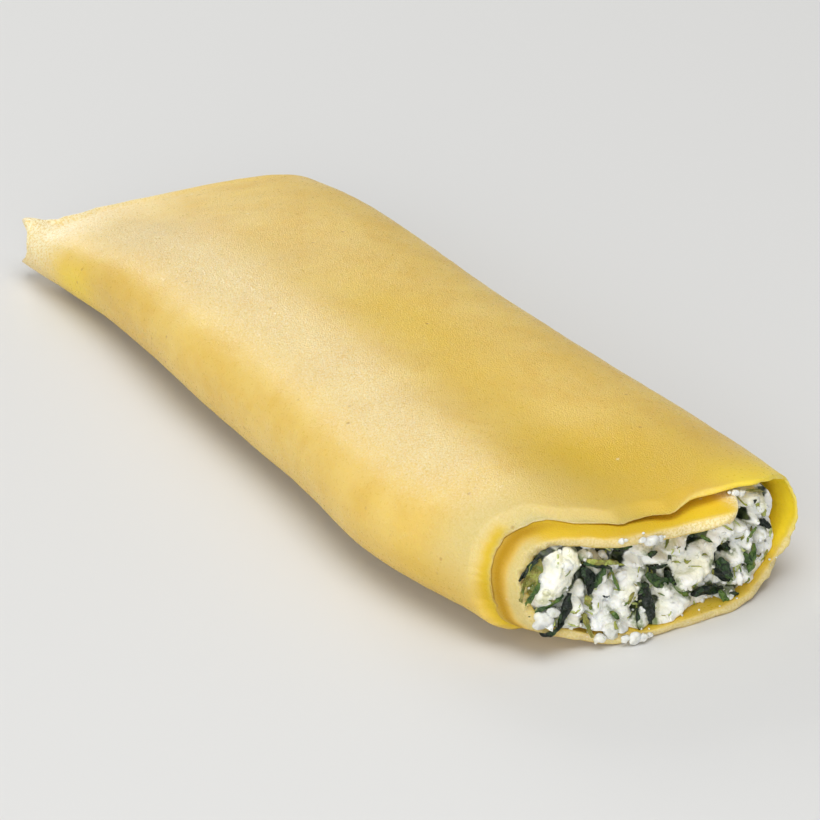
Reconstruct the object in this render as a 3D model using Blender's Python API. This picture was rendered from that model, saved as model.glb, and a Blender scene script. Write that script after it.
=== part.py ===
"""A fresh cannelloni: one sheet of egg pasta rolled a turn and a half round ricotta and spinach.

The roll lies on its flat underside along X. Its open, filled end is at +X and its pinched tip
at -X. The section is measured by an angle: 0 is the right side (+Y), 90 the top, 180 the left
side (-Y) and 270 the underside.
"""
import math

import bmesh
import bpy

MM = 0.001

# Pasta sheet, millimetres and degrees.
PASTA_THICK = 1.1
WRAP_GAP = 0.3
SHEET_START = 50.0
SHEET_END = 590.0
TUCK_FROM = 233.0
TUCK_TO = 262.0

# Outside of the roll: places along X, and its reach and height at each of them.
STATIONS = (-65.5, -53.5, -36.5, -12.5, 14.5, 34.5, 49.5, 64.5)
LEFT_REACH = (20.8, 19.6, 19.8, 21.2, 22.2, 23.2, 21.2, 16.6)
RIGHT_REACH = (19.0, 22.3, 22.3, 21.0, 21.1, 22.5, 23.4, 22.6)
LEFT_HEIGHT = (9.8, 10.2, 13.9, 15.7, 16.5, 16.6, 17.4, 15.6)
RIGHT_HEIGHT = (9.6, 12.1, 14.7, 16.2, 17.0, 17.0, 16.8, 17.4)
SIDE_FULLNESS = 1.8
UNDERSIDE_SINK = 0.5
ORIGIN_SHIFT = -0.75

# A shallow dent along the top, near the open end.
DENT_DEPTH = 1.1
DENT_CENTRE = 1.0
DENT_WIDTH = 7.0

# Ends of the roll: a mean place along X and waves round the section (turns, size, phase).
OPEN_END = 60.3
OPEN_WAVES = ((1, 1.3, -20.0), (2, 2.6, 155.0), (3, 0.9, -140.0))
TELESCOPE = 2.2
FAR_END = -58.3
FAR_WAVES = ((1, 3.8, 0.0), (2, 0.6, 120.0))
TIP_LENGTH = 1.9
TIP_ANGLE = 175.0
TIP_SPREAD = 36.0
CORNER_CUT = 2.4
CORNER_TURN = 24.0

# Filling: how far it runs, and the unevenness of its two faces.
FILLING_FAR = -53.5
FILLING_NEAR = 60.5
FILLING_LUMP = 0.9
FILLING_BULGE = 1.6

SHEET_STEPS = 66
SHEET_LENGTHS = 20
FILLING_STEPS = 42
FILLING_LENGTHS = 16
FACE_RINGS = 6

PASTA_COLOUR = (0.82, 0.62, 0.26, 1.0)
FILLING_COLOUR = (0.80, 0.80, 0.66, 1.0)


def ease(amount):
    """Rise smoothly from 0 to 1 as the amount goes from 0 to 1."""
    amount = min(max(amount, 0.0), 1.0)
    return amount * amount * (3.0 - 2.0 * amount)


def slope_at(sizes, index):
    """Slope of a row of sizes at one of the stations."""
    low = max(index - 1, 0)
    high = min(index + 1, len(sizes) - 1)
    return (sizes[high] - sizes[low]) / (STATIONS[high] - STATIONS[low])


def along(sizes, x):
    """Smooth value of a row of sizes at a place along X."""
    index = 0
    while index < len(STATIONS) - 2 and x > STATIONS[index + 1]:
        index += 1
    span = STATIONS[index + 1] - STATIONS[index]
    t = (x - STATIONS[index]) / span
    if t < 0.0:
        return sizes[0] + slope_at(sizes, 0) * t * span
    if t > 1.0:
        return sizes[-1] + slope_at(sizes, len(sizes) - 1) * (t - 1.0) * span
    blend = ease(t)
    leave = t * (1.0 - t) ** 2 * span * slope_at(sizes, index)
    arrive = t * t * (t - 1.0) * span * slope_at(sizes, index + 1)
    return sizes[index] + blend * (sizes[index + 1] - sizes[index]) + leave + arrive


def top_dent(x, y, rise):
    """Depth of the shallow dent on top of the roll."""
    across = math.exp(-((y - DENT_CENTRE) / DENT_WIDTH) ** 2)
    return DENT_DEPTH * across * ease((rise - 0.2) / 0.6) * ease((x - 15.0) / 40.0)


def section_point(angle, x, inset):
    """Point of the rolled section at an angle, moved inwards from the outside by the inset."""
    turn = math.radians(angle)
    spread = math.tanh(SIDE_FULLNESS * math.cos(turn)) / math.tanh(SIDE_FULLNESS)
    left = -along(LEFT_REACH, x)
    right = along(RIGHT_REACH, x)
    share = 0.5 + 0.5 * spread
    radius = 0.5 * (along(LEFT_HEIGHT, x) * (1.0 - share) + along(RIGHT_HEIGHT, x) * share)
    half = 0.5 * (right - left) - radius
    y = 0.5 * (left + right) + half * spread + (radius - inset) * math.cos(turn)
    rise = math.sin(turn)
    lift = radius - inset
    if rise < 0.0:
        lift += UNDERSIDE_SINK
    z = radius + lift * rise - top_dent(x, y, rise)
    return ((x + ORIGIN_SHIFT) * MM, y * MM, max(z, inset) * MM)


def waves(rows, angle):
    """Sum of cosine waves round the section."""
    return sum(size * math.cos(math.radians(turns * angle - phase)) for turns, size, phase in rows)


def wrap_inset(angle):
    """Depth of the sheet's outer face: the first turn lies under the last one."""
    return (PASTA_THICK + WRAP_GAP) * ease((TUCK_TO - angle) / (TUCK_TO - TUCK_FROM))


def corner(angle):
    """How far the sheet's rounded corners are cut back next to its loose end."""
    return CORNER_CUT * ease((angle - SHEET_END + CORNER_TURN) / CORNER_TURN)


def open_end(angle):
    """Where the sheet stops at the open end; the inner turn stands further out."""
    inner = ease((TUCK_TO - angle) / (TUCK_TO - 180.0))
    return OPEN_END + waves(OPEN_WAVES, angle) + TELESCOPE * inner - corner(angle)


def far_end(angle):
    """Where the sheet stops at the far end, drawn out to a tip on the left."""
    off = ((angle - TIP_ANGLE + 180.0) % 360.0) - 180.0
    tip = TIP_LENGTH * math.exp(-(off / TIP_SPREAD) ** 2)
    return FAR_END + waves(FAR_WAVES, angle) - tip + corner(angle)


def sheet_faces(steps, lengths):
    """Faces of a closed sheet: outer grid, inner grid and the four cut edges."""
    row = lengths + 1
    inner = (steps + 1) * row
    faces = []
    for i in range(steps):
        for j in range(lengths):
            a = i * row + j
            faces.append((a, a + row, a + row + 1, a + 1))
            faces.append((inner + a, inner + a + 1, inner + a + row + 1, inner + a + row))
    for i in range(steps):
        low = i * row
        high = low + lengths
        faces.append((low, inner + low, inner + low + row, low + row))
        faces.append((high, high + row, inner + high + row, inner + high))
    last = steps * row
    for j in range(lengths):
        faces.append((j, j + 1, inner + j + 1, inner + j))
        faces.append((last + j, inner + last + j, inner + last + j + 1, last + j + 1))
    return faces


def sheet_points(depth):
    """Grid of points on the sheet at a depth below its outer face."""
    points = []
    for i in range(SHEET_STEPS + 1):
        angle = SHEET_START + (SHEET_END - SHEET_START) * i / SHEET_STEPS
        near = open_end(angle)
        far = far_end(angle)
        for j in range(SHEET_LENGTHS + 1):
            x = far + (near - far) * j / SHEET_LENGTHS
            points.append(section_point(angle, x, wrap_inset(angle) + depth))
    return points


def filling_inset(angle):
    """Depth of the filling's side: below one layer of pasta, or below two past the sheet's start."""
    lap = PASTA_THICK + WRAP_GAP
    if angle > TUCK_TO:
        return lap
    if angle > TUCK_FROM - 60.0:
        return lap + wrap_inset(angle)
    return lap + lap * ease((angle - SHEET_START + 22.0) / 18.0)


def end_lump(angle, share, phase):
    """Unevenness of an end face of the filling."""
    swirl = math.cos(math.radians(3.0 * angle + phase)) * math.cos(4.0 * share)
    curl = math.sin(math.radians(5.0 * angle - phase)) * share * share
    return FILLING_LUMP * (0.6 * swirl + 0.4 * curl)


def filling_ring(share, x_of):
    """Ring of the filling's section, drawn in towards its middle by a share."""
    ring = []
    for i in range(FILLING_STEPS):
        angle = 360.0 * i / FILLING_STEPS
        x = x_of(angle, share)
        side = section_point(angle, x, filling_inset(angle))
        middle_y = 0.5 * (along(RIGHT_REACH, x) - along(LEFT_REACH, x)) * MM
        middle_z = 0.25 * (along(RIGHT_HEIGHT, x) + along(LEFT_HEIGHT, x)) * MM
        y = middle_y + (side[1] - middle_y) * share
        z = middle_z + (side[2] - middle_z) * share
        ring.append((side[0], y, z))
    return ring


def near_face(angle, share):
    """Place along X of the filling's near face."""
    bulge = FILLING_BULGE * (1.0 - share * share)
    return FILLING_NEAR + 0.5 * waves(OPEN_WAVES, angle) * share + bulge + end_lump(angle, share, 40.0)


def far_face(angle, share):
    """Place along X of the filling's far face."""
    bulge = FILLING_BULGE * (1.0 - share * share)
    return FILLING_FAR - bulge + end_lump(angle, share, 150.0)


def filling_mesh():
    """Points and faces of the filling: side rings between two lumpy end faces."""
    rings = []
    for k in range(1, FACE_RINGS + 1):
        rings.append(filling_ring(k / FACE_RINGS, far_face))
    for k in range(1, FILLING_LENGTHS):
        run = k / FILLING_LENGTHS
        rings.append(filling_ring(1.0, lambda a, s: far_face(a, s) * (1.0 - run) + near_face(a, s) * run))
    for k in range(FACE_RINGS, 0, -1):
        rings.append(filling_ring(k / FACE_RINGS, near_face))
    points = [point for ring in rings for point in ring]
    faces = []
    for k in range(len(rings) - 1):
        for i in range(FILLING_STEPS):
            a = k * FILLING_STEPS + i
            b = k * FILLING_STEPS + (i + 1) % FILLING_STEPS
            faces.append((a, b, b + FILLING_STEPS, a + FILLING_STEPS))
    far_hub = len(points)
    points.append(hub(rings[0]))
    near_hub = len(points)
    points.append(hub(rings[-1]))
    last = (len(rings) - 1) * FILLING_STEPS
    for i in range(FILLING_STEPS):
        after = (i + 1) % FILLING_STEPS
        faces.append((far_hub, after, i))
        faces.append((near_hub, last + i, last + after))
    return points, faces


def hub(ring):
    """Middle of a ring of points."""
    return tuple(sum(point[axis] for point in ring) / len(ring) for axis in range(3))


def make_material(name, colour, roughness, coat):
    """Principled material of one food."""
    material = bpy.data.materials.new(name)
    material.use_nodes = True
    shader = material.node_tree.nodes["Principled BSDF"]
    shader.inputs["Base Color"].default_value = colour
    shader.inputs["Roughness"].default_value = roughness
    shader.inputs["Coat Weight"].default_value = coat
    material.diffuse_color = colour
    return material


def make_piece(name, points, faces, material):
    """Closed, triangulated, smooth-shaded object from points and faces."""
    mesh = bpy.data.meshes.new(name)
    mesh.from_pydata(points, [], faces)
    work = bmesh.new()
    work.from_mesh(mesh)
    bmesh.ops.triangulate(work, faces=work.faces)
    bmesh.ops.recalc_face_normals(work, faces=work.faces)
    for face in work.faces:
        face.smooth = True
    work.to_mesh(mesh)
    work.free()
    mesh.materials.append(material)
    piece = bpy.data.objects.new(name, mesh)
    bpy.context.scene.collection.objects.link(piece)
    return piece


def clear_scene():
    """Take away whatever the scene holds."""
    for item in list(bpy.data.objects):
        bpy.data.objects.remove(item, do_unlink=True)


def main():
    clear_scene()
    pasta = make_material("egg_pasta", PASTA_COLOUR, 0.5, 0.1)
    ricotta = make_material("ricotta_spinach", FILLING_COLOUR, 0.6, 0.2)
    points = sheet_points(0.0) + sheet_points(PASTA_THICK)
    make_piece("pasta_sheet", points, sheet_faces(SHEET_STEPS, SHEET_LENGTHS), pasta)
    points, faces = filling_mesh()
    make_piece("filling", points, faces, ricotta)


main()
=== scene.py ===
"""Looks of a fresh cannelloni: egg pasta rolled round ricotta and spinach.

Lengths are in millimetres until a mesh is made. The roll lies along X with its open end at +X.
Its section is measured by an angle in degrees: 0 is the right side (+Y), 90 the top, 180 the left
side (-Y) and 270 the underside. A depth is counted inwards from the outside of the roll.
"""

import math

import bpy
import numpy as np
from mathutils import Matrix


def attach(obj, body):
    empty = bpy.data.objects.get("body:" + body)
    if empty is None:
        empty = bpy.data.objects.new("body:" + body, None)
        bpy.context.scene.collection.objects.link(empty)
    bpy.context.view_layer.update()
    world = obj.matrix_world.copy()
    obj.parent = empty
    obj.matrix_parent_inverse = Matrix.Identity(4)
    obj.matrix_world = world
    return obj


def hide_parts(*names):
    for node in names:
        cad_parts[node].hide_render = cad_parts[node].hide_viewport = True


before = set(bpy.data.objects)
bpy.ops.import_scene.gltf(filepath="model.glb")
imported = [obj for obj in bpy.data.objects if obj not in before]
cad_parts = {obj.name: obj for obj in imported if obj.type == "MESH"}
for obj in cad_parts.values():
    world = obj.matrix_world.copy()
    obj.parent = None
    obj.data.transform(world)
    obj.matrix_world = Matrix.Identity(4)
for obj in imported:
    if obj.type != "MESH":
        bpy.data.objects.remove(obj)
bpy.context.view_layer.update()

MM = 0.001

# The rolled sheet: its turns, the roll's reach to each side and height at stations along X, the
# dent on top, and the far end with its waves (turns, size, phase) and points (angle, size, reach).
PASTA_THICK = 1.1
WRAP_GAP = 0.06
SHEET_START = 71.0
SHEET_END = 583.0
TUCK_FROM = 233.0
TUCK_TO = 262.0
STATIONS = np.array((-65.5, -53.5, -36.5, -12.5, 14.5, 34.5, 49.5, 64.5))
LEFT_REACH = np.array((20.8, 19.6, 19.8, 21.2, 22.2, 23.2, 21.2, 16.6))
RIGHT_REACH = np.array((19.0, 22.3, 22.3, 21.0, 21.1, 22.5, 23.4, 22.6))
LEFT_HEIGHT = np.array((9.8, 10.2, 13.9, 15.7, 16.5, 16.6, 17.4, 15.6))
RIGHT_HEIGHT = np.array((9.6, 12.1, 14.7, 16.2, 17.0, 17.0, 16.8, 17.4))
SIDE_FULLNESS = 1.8
UNDERSIDE_SINK = 0.5
ORIGIN_SHIFT = -0.75
DENT_DEPTH = 1.1
DENT_CENTRE = 1.0
DENT_WIDTH = 7.0
DENT_FROM = 15.0
DENT_RUN = 40.0
FAR_END = -58.3
FAR_WAVES = ((1, 3.8, 0), (2, 0.6, 120))
FAR_POINTS = ((174, 1.9, 19), (140, -2.7, 8), (211, -2.6, 11))
CORNER_CUT = 0.5
CORNER_TURN = 14.0
GIRTH = 105.0

# The cut edge at the open end, turn by turn along the sheet: angle and place along X.
OPEN_EDGE = np.array((
    (71, 62.8), (73, 64.4), (76, 65.8), (79, 65.7), (82, 65.2), (85.5, 64.6),
    (90, 64.2), (94, 64), (99.5, 64.1), (105, 64.1), (109, 63.6), (113, 62.7),
    (117, 61.6), (121, 60.5), (127, 59.7), (135, 59.4), (150, 59.8), (165, 60.7),
    (180, 61.4), (200, 61.8), (215, 61.8), (240, 62.5), (262, 64), (280, 63.5),
    (296, 62.4), (312, 60.7), (330, 59.7), (360, 59.6), (382, 58.8), (405, 61.5),
    (422, 63.2), (436.5, 63.1), (442, 62.5), (446, 62.2), (449.5, 62.8), (452, 62.2),
    (455.2, 61.5), (461.8, 61.9), (464.5, 61.3), (468, 60.6), (471.5, 59.6), (474.8, 58.4),
    (478, 57.1), (484.8, 56.4), (493, 56.1), (507, 56.5), (520.5, 56.8), (534, 57.3),
    (549, 57.6), (556, 57.9), (563, 58.3), (570, 59), (577, 59.8), (583, 60.3)))

# Fineness of the visible sheet, and how ragged, thinned, flared and undercut its cut edges are.
SHEET_STEPS = 320
SHEET_LENGTHS = 142
EDGE_STEPS = 4
RAGGED = 0.34
FEATHER = 0.92
FLARE = 0.75
UNDERCUT = 0.1

# Patches on the sheet: place along X, reach along X, angle, reach round the section.
TIP_PATCH = (-47.5, 5.5, 186, 24)
FAR_GOLD = (-39, 5.5, 172, 20)
# The next patch is painted shade low on the left near the open end.
LOW_LEFT = (50, 10, 192, 20)
# The tip's fold: a painted fold shadow.
TIP_FOLD = (-61.8, 1.2, 133, 5)
TIP_NECK = (-59, 2, 130, 14)
SWOLLEN_HEM = (58.5, 4.5, 209, 11)

# The filling between its two faces.
FILLING_FAR = -52.0
FILLING_NEAR = 60.3
FILLING_TURNS = 520
NEAR_RINGS = 116
SIDE_RINGS = 18
FAR_RINGS = 44

# Curds at the open end: across, up, half width, half height, rise, lean in degrees.
NEAR_CURDS = (
    (-11.9, 9, 3.6, 1.9, 2.7, 60), (-9.9, 11, 1.9, 1.2, 2.4, 70), (-6.8, 10.3, 2.4, 0.8, 2, -25),
    (-9.9, 5.3, 2.5, 1.2, 2.7, 95), (-13.9, 4.3, 1.9, 1.4, 3.4, 30), (-5.9, 8.4, 1.2, 1.1, 1.9, 0),
    (-5.2, 6.3, 1.6, 1.4, 1.8, 0), (-6.3, 2.9, 2.7, 2.4, 2.4, 0), (-7, 5, 1.7, 1.4, 2.3, 0),
    (-4.3, 1.2, 1.8, 1, 2.2, 0), (-2.1, 5.7, 1.7, 2, 2.3, 0), (-3.1, 3.9, 1.5, 1.4, 2.4, 0),
    (1.7, 8.8, 1.7, 1.3, 2.8, 0), (0.4, 10.6, 1.5, 1, 2.9, 0), (-1, 9.1, 1.4, 1, 2, 0),
    (-1.3, 7.3, 1.3, 1, 2.1, 0), (7.6, 6.4, 3.7, 2, 3, 48), (5.9, 4.9, 2.1, 1.6, 2.8, 0),
    (10.5, 9.5, 2.3, 1.3, 2.2, 40), (4.6, 9.5, 2.3, 1.2, 2.2, 10), (3.2, 4, 1.5, 1.4, 1.9, 0),
    (4, 2.2, 2.5, 1.4, 1.9, 0), (1.9, 1.2, 2, 0.9, 2, 0), (-0.9, 1.5, 1.3, 1.4, 2, 0),
    (12.7, 6.1, 1.6, 1.6, 2.6, 0), (11.9, 3.1, 1.3, 1.2, 2.6, 0), (13.9, 3.3, 1.3, 1.7, 2.6, 0),
    (11.5, 0.9, 1.5, 0.8, 2.4, 0), (14.3, 13.3, 1.7, 1.3, 3.8, 0), (16, 12.1, 1.2, 1.4, 3.2, 0),
    (15.4, 10.2, 0.9, 1, 2.8, 0), (13.6, 9.3, 1.3, 0.9, 2.2, 0), (16.7, 7.6, 1.1, 1.4, 2.8, 0),
    (14.4, 7.7, 1, 1.4, 2.6, 0), (-8.3, 7.2, 1, 1.3, 1.5, 0))

# Hollows between the curds: across, up, width, depth.
NEAR_HOLLOWS = (
    (14.4, 10.6, 0.9, 2.2), (6.9, 9.2, 0.75, 1.4), (11.6, 7.6, 0.7, 1.6), (4, 5.6, 0.7, 1.6),
    (-2.8, 9.9, 1, 1.4), (-5.6, 11.9, 1.2, 1.4), (-13.5, 11.5, 0.8, 1.6), (-8.2, 3.3, 0.6, 0.8),
    (-16, 10.4, 0.9, 1.4), (1, 3.2, 0.5, 0.8), (-6.3, 7.6, 0.6, 1))

# Crumbs stuck to the cut edge of the open end: how many, from which angle, to which angle.
EDGE_CRUMBS = ((12, 244, 262), (16, 262, 300), (6, 300, 340), (6, 84, 118))

# Curds that lie on the cut edges: along, across, up, radius.
RIM_CURDS = (
    (63.9, -3, 0.9, 0.75), (64, -1.9, 0.8, 0.6), (63.8, -1, 0.7, 0.45), (63.6, -4.2, 1, 0.5),
    (62.6, -5.4, 1.5, 0.9), (62.8, -7, 1.5, 0.7), (62.2, 11.5, 15.2, 0.5), (62.3, 12.3, 15, 0.42),
    (62.1, 10.7, 15.4, 0.26), (61.4, -14, 5.2, 1.2), (61.8, -13, 5.9, 0.7), (63.7, -0.9, 13, 0.8),
    (63.8, -2.2, 13.3, 0.45), (63.6, 0.3, 12.9, 0.42), (63.7, -5, 13.9, 0.38), (63.7, -4.4, 13.9, 0.28))

# Leaves at the open end: three places (across, up), half width, lift at each place, tone.
NEAR_LEAVES = (
    ((-13.6, 12.3), (-15.2, 10), (-16.2, 7.6), 1.1, (0.3, 0.5, 0.3), 0.52),
    ((-14.2, 9.8), (-14.9, 8.4), (-16, 7), 0.4, (0.9, 1, 0.6), 0.3),
    ((-13.6, 12.6), (-15.2, 11.7), (-16.2, 10), 0.35, (0.5, 0.5, 0.4), 0),
    ((-11.4, 7.8), (-12.8, 6.6), (-15.6, 5.8), 0.35, (0.5, 0.5, 0.4), 0.25),
    ((-10.9, 8), (-11, 6), (-11.9, 3.9), 0.75, (0.7, 1, 0.9), 0),
    ((-14.8, 4), (-13.2, 2.7), (-11.4, 4.2), 0.36, (0.4, 0.9, 0.8), 0),
    ((-9, 5), (-8.3, 3.5), (-7.9, 1.7), 0.4, (0.5, 0.7, 0.5), 0.5),
    ((-8.2, 6.8), (-7.9, 6), (-7.7, 5), 0.45, (0.4, 0.5, 0.4), 0.5),
    ((-8.7, 10.1), (-7, 8.7), (-7.5, 6.7), 0.9, (0.6, 0.8, 0.6), 0),
    ((-6, 9.9), (-6.6, 8.5), (-7.3, 7.2), 0.5, (0.8, 0.9, 0.7), 0.15),
    ((-8.8, 11.2), (-6.8, 10.4), (-4.7, 9.3), 0.3, (0.8, 1, 0.8), 0.05),
    ((-4.6, 9), (-4.1, 7.6), (-3.7, 6.1), 0.22, (0.7, 0.8, 0.7), 0.3),
    ((-5.3, 4.2), (-4.7, 3.7), (-4.3, 3), 0.3, (0.3, 0.5, 0.3), 0.35),
    ((-0.4, 6.4), (0.7, 3.8), (0.1, 1.2), 0.8, (0.6, 1.1, 0.7), 0),
    ((-1.3, 3.3), (-1.8, 2.1), (-1.6, 0.9), 0.3, (0.3, 0.5, 0.4), 0),
    ((-0.1, 7.4), (1.4, 5.7), (3.6, 5), 0.75, (0.7, 1.2, 0.7), 0.15),
    ((0.4, 8), (1.7, 7.1), (3.3, 7.4), 0.22, (0.6, 0.9, 0.6), 0.05),
    ((3.3, 6.5), (3.8, 5.7), (4.3, 4.7), 0.45, (0.5, 0.7, 0.5), 0),
    ((4, 4.9), (4.7, 3.9), (5.7, 3), 0.4, (0.3, 0.4, 0.3), 0.3),
    ((-9, 12.6), (-5.6, 11.8), (-2.4, 10), 0.32, (0.2, 0.2, 0.2), 0),
    ((-8.4, 11.4), (-6.2, 10.7), (-3.8, 9.7), 0.4, (1.3, 1.4, 1.2), 0.6),
    ((-4.4, 11.7), (-3.2, 11.4), (-1.8, 11.2), 0.3, (1.2, 1.4, 1.2), 0.12),
    ((-0.4, 10.5), (0.1, 10.1), (0.8, 10.4), 0.4, (0.4, 0.6, 0.4), 0.1),
    ((6, 9.3), (6.9, 9.5), (7.8, 9.5), 0.5, (0.1, 0.2, 0.1), 0),
    ((10.8, 8.8), (11.2, 7.9), (12.1, 6.9), 0.45, (0.2, 0.3, 0.2), 0),
    ((9, 6.8), (10.7, 6.2), (11.4, 3.9), 0.72, (0.6, 1.1, 0.6), 0.12),
    ((9.3, 5.8), (9.9, 4.8), (11.2, 3.7), 0.55, (0.7, 1, 0.7), 0),
    ((6.4, 2.8), (8.6, 3.1), (11, 2.3), 0.65, (0.6, 0.9, 0.6), 0),
    ((10.2, 2.4), (11.1, 1.2), (10.8, 0.5), 0.45, (0.5, 0.6, 0.4), 0.25),
    ((11.6, 1.8), (12.5, 1.3), (13.2, 0.7), 0.4, (0.4, 0.6, 0.4), 0.05),
    ((15, 7.2), (14.8, 5.4), (14.1, 3.9), 0.55, (0.7, 0.9, 0.6), 0.3),
    ((13.4, 6.6), (14.2, 5.4), (14.9, 4.1), 0.5, (0.7, 0.9, 0.7), 0.22),
    ((16.1, 9.6), (17.1, 9), (18, 8), 0.5, (0.5, 0.7, 0.7), 0),
    ((14.9, 12.7), (15.8, 11.7), (16.6, 10.4), 0.5, (0.4, 0.6, 0.4), 0.65),
    ((13.6, 14.6), (15, 14.3), (16.6, 13.3), 0.2, (0.4, 0.6, 0.4), 0.5),
    ((15.2, 9.4), (14.4, 8.8), (13.7, 8), 0.25, (0.5, 0.6, 0.5), 0.35))

# Colours of the pasta: red, green, blue.
DOUGH = (0.74, 0.48, 0.082)
DOUGH_LIGHT = (0.81, 0.57, 0.145)
DOUGH_FINE = (0.84, 0.62, 0.19)
# Yolk: the dough's richer tone, and also a painted glow on the inner faces and painted shade on the band,
# near the open end's top, low on the left and in the valley.
YOLK = (0.8, 0.545, 0.032)
# Amber: painted shade in the crease, on shaded cut faces, near the open end's top, low on the left and at
# the tip's fold.
AMBER = (0.45, 0.25, 0.01)
# Lemon: a painted glow inside on the right and painted light on the right rim.
LEMON = (0.97, 0.71, 0.035)
# Cream: a duller tone; on the left near the open end it is painted shade.
CREAM = (0.6, 0.485, 0.17)
# Pale: the cut faces and the tip, and along the crest a painted highlight.
PALE_AND_HIGHLIGHT = (0.94, 0.82, 0.54)
PORE = (0.42, 0.22, 0.05)
SPECK = (0.74, 0.45, 0.06)
# Painted glints in the highlight along the crest.
HIGHLIGHT_GLINT = (0.98, 0.9, 0.7)
FLOUR = (0.94, 0.86, 0.62)

# Colours of the curd, then of the leaves from tone 0 to tone 1.
CURD = (0.95, 0.95, 0.89)
CURD_WARM = (0.92, 0.9, 0.72)
BUTTER = (0.8, 0.74, 0.4)
# Bluish grey: painted shade on the curds.
BLUE_GREY_SHADE = (0.57, 0.63, 0.66)
JUICE = (0.4, 0.4, 0.12)
FLECK = (0.3, 0.38, 0.12)
# Dark green round the leaves: their juice and painted shade.
STAIN_AND_SHADE = (0.17, 0.22, 0.08)
GAP_DARK = (0.014, 0.022, 0.01)
GAP_GREEN = (0.075, 0.1, 0.028)
LEAF_TONES = (
    (0.0, (0.006, 0.013, 0.007)), (0.15, (0.022, 0.06, 0.014)),
    (0.35, (0.1, 0.19, 0.03)), (0.52, (0.27, 0.23, 0.045)),
    (0.7, (0.45, 0.52, 0.11)), (1.0, (0.68, 0.75, 0.34)))

# Lights: name, azimuth, elevation, distance, size in metres, watts, colour.
LIGHTS = (
    ("key", -99.0, 24.0, 0.8, 0.34, 1.6, (1.0, 0.99, 0.97)),
    ("fill", 20.0, 24.0, 1.0, 0.8, 2.3, (1.0, 0.99, 0.97)),
    ("overhead", 60.0, 75.0, 1.0, 0.8, 6.4, (1.0, 1.0, 1.0)),
    ("front", 55.0, 11.0, 1.0, 0.6, 4.6, (1.0, 1.0, 1.0)))
LIGHTS_TARGET = (0.0, 0.0, 0.01)
ROOM_LIGHT = 0.26

# The camera: what it looks at and from how far in metres, its azimuth and elevation, its lens.
CAMERA_TARGET = np.array((0.01068, -0.00211, 0.0074))
CAMERA_DISTANCE = 0.552
CAMERA_VIEW = (60, 26)
LENS = 196.0


# -------- numbers

def ease(amount):
    """Smooth rise from 0 to 1: 3t^2 - 2t^3, held flat outside."""
    t = np.clip(amount, 0.0, 1.0)
    return t * t * (3.0 - 2.0 * t)


def bell(distance, width):
    """Bell of height 1: exp(-(distance / width)^2)."""
    return np.exp(-((distance / width) ** 2))


def off(angle, place):
    """Signed turn from a place round the section, within half a turn."""
    return (angle - place + 180.0) % 360.0 - 180.0


def arc(knots, s):
    """Quadratic curve over three knots: a (1 - s)^2 + 2 b s (1 - s) + c s^2."""
    a, b, c = knots
    return a * (1.0 - s) ** 2 + b * 2.0 * s * (1.0 - s) + c * s * s


def hashed(i, j, k, seed):
    """Repeatable value in 0..1 for whole-number places, by mixing their bits."""
    n = (i * 374761393 + j * 668265263 + k * 1442695041 + seed * 974711) & 0xFFFFFFFF
    n = ((n ^ (n >> 13)) * 1274126177) & 0xFFFFFFFF
    n = ((n ^ (n >> 16)) * 2246822519) & 0xFFFFFFFF
    return ((n ^ (n >> 15)) & 0xFFFFFF) / float(0xFFFFFF)


def value_noise(x, y, z, seed):
    """Smooth noise in -1..1: values at whole places blended by the eased fraction between them."""
    cell = [np.floor(v).astype(np.int64) for v in (x, y, z)]
    part = [ease(v - c) for v, c in zip((x, y, z), cell)]
    total = 0.0
    for corner_index in range(8):
        step = [(corner_index >> axis) & 1 for axis in range(3)]
        weight = 1.0
        for axis in range(3):
            weight = weight * (part[axis] if step[axis] else 1.0 - part[axis])
        total = total + weight * hashed(cell[0] + step[0], cell[1] + step[1], cell[2] + step[2], seed)
    return 2.0 * total - 1.0


def rough(x, y, z, size, seed, octaves=3):
    """Sum of noises, each half as big and half as strong as the one before."""
    total = 0.0
    strength = 1.0
    for octave in range(octaves):
        total = total + strength * value_noise(x / size, y / size, z / size, seed + 31 * octave)
        size = size * 0.5
        strength = strength * 0.5
    return total


def pebbles(u, v, size, seed):
    """Round caps scattered one to a cell: the highest of height * (1 - (distance / reach)^2)^0.8."""
    cell_u = np.floor(u / size).astype(np.int64)
    cell_v = np.floor(v / size).astype(np.int64)
    top = np.zeros(np.broadcast(u, v).shape)
    for du in (-1, 0, 1):
        for dv in (-1, 0, 1):
            i, j = cell_u + du, cell_v + dv
            centre_u = (i + 0.15 + 0.7 * hashed(i, j, 0, seed)) * size
            centre_v = (j + 0.15 + 0.7 * hashed(i, j, 1, seed)) * size
            reach = size * (0.45 + 0.5 * hashed(i, j, 2, seed))
            near = 1.0 - ((u - centre_u) ** 2 + (v - centre_v) ** 2) / reach ** 2
            top = np.maximum(top, np.clip(near, 0.0, 1.0) ** 0.8 * reach / size)
    return top


def through(stations, sizes, x):
    """Cubic curve through a row of sizes at their stations, straight past both ends."""
    slopes = np.empty(len(sizes))
    steps = np.diff(sizes) / np.diff(stations)
    slopes[1:-1] = (sizes[2:] - sizes[:-2]) / (stations[2:] - stations[:-2])
    slopes[0] = steps[0]
    slopes[-1] = steps[-1]
    index = np.clip(np.searchsorted(stations, x) - 1, 0, len(stations) - 2)
    span = stations[index + 1] - stations[index]
    t = (x - stations[index]) / span
    u = np.clip(t, 0.0, 1.0)
    leave = u * (1.0 - u) ** 2 * span * slopes[index]
    arrive = u * u * (u - 1.0) * span * slopes[index + 1]
    inside = sizes[index] + ease(u) * (sizes[index + 1] - sizes[index]) + leave + arrive
    past = np.where(t > 1.0, slopes[-1], slopes[0]) * (t - u) * span
    return inside + past


def waves(rows, angle):
    """Sum of cosine waves round the section: size * cos(turns * angle - phase)."""
    return sum(size * np.cos(np.radians(turns * angle - phase)) for turns, size, phase in rows)


# -------- the roll's section and ends

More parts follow.
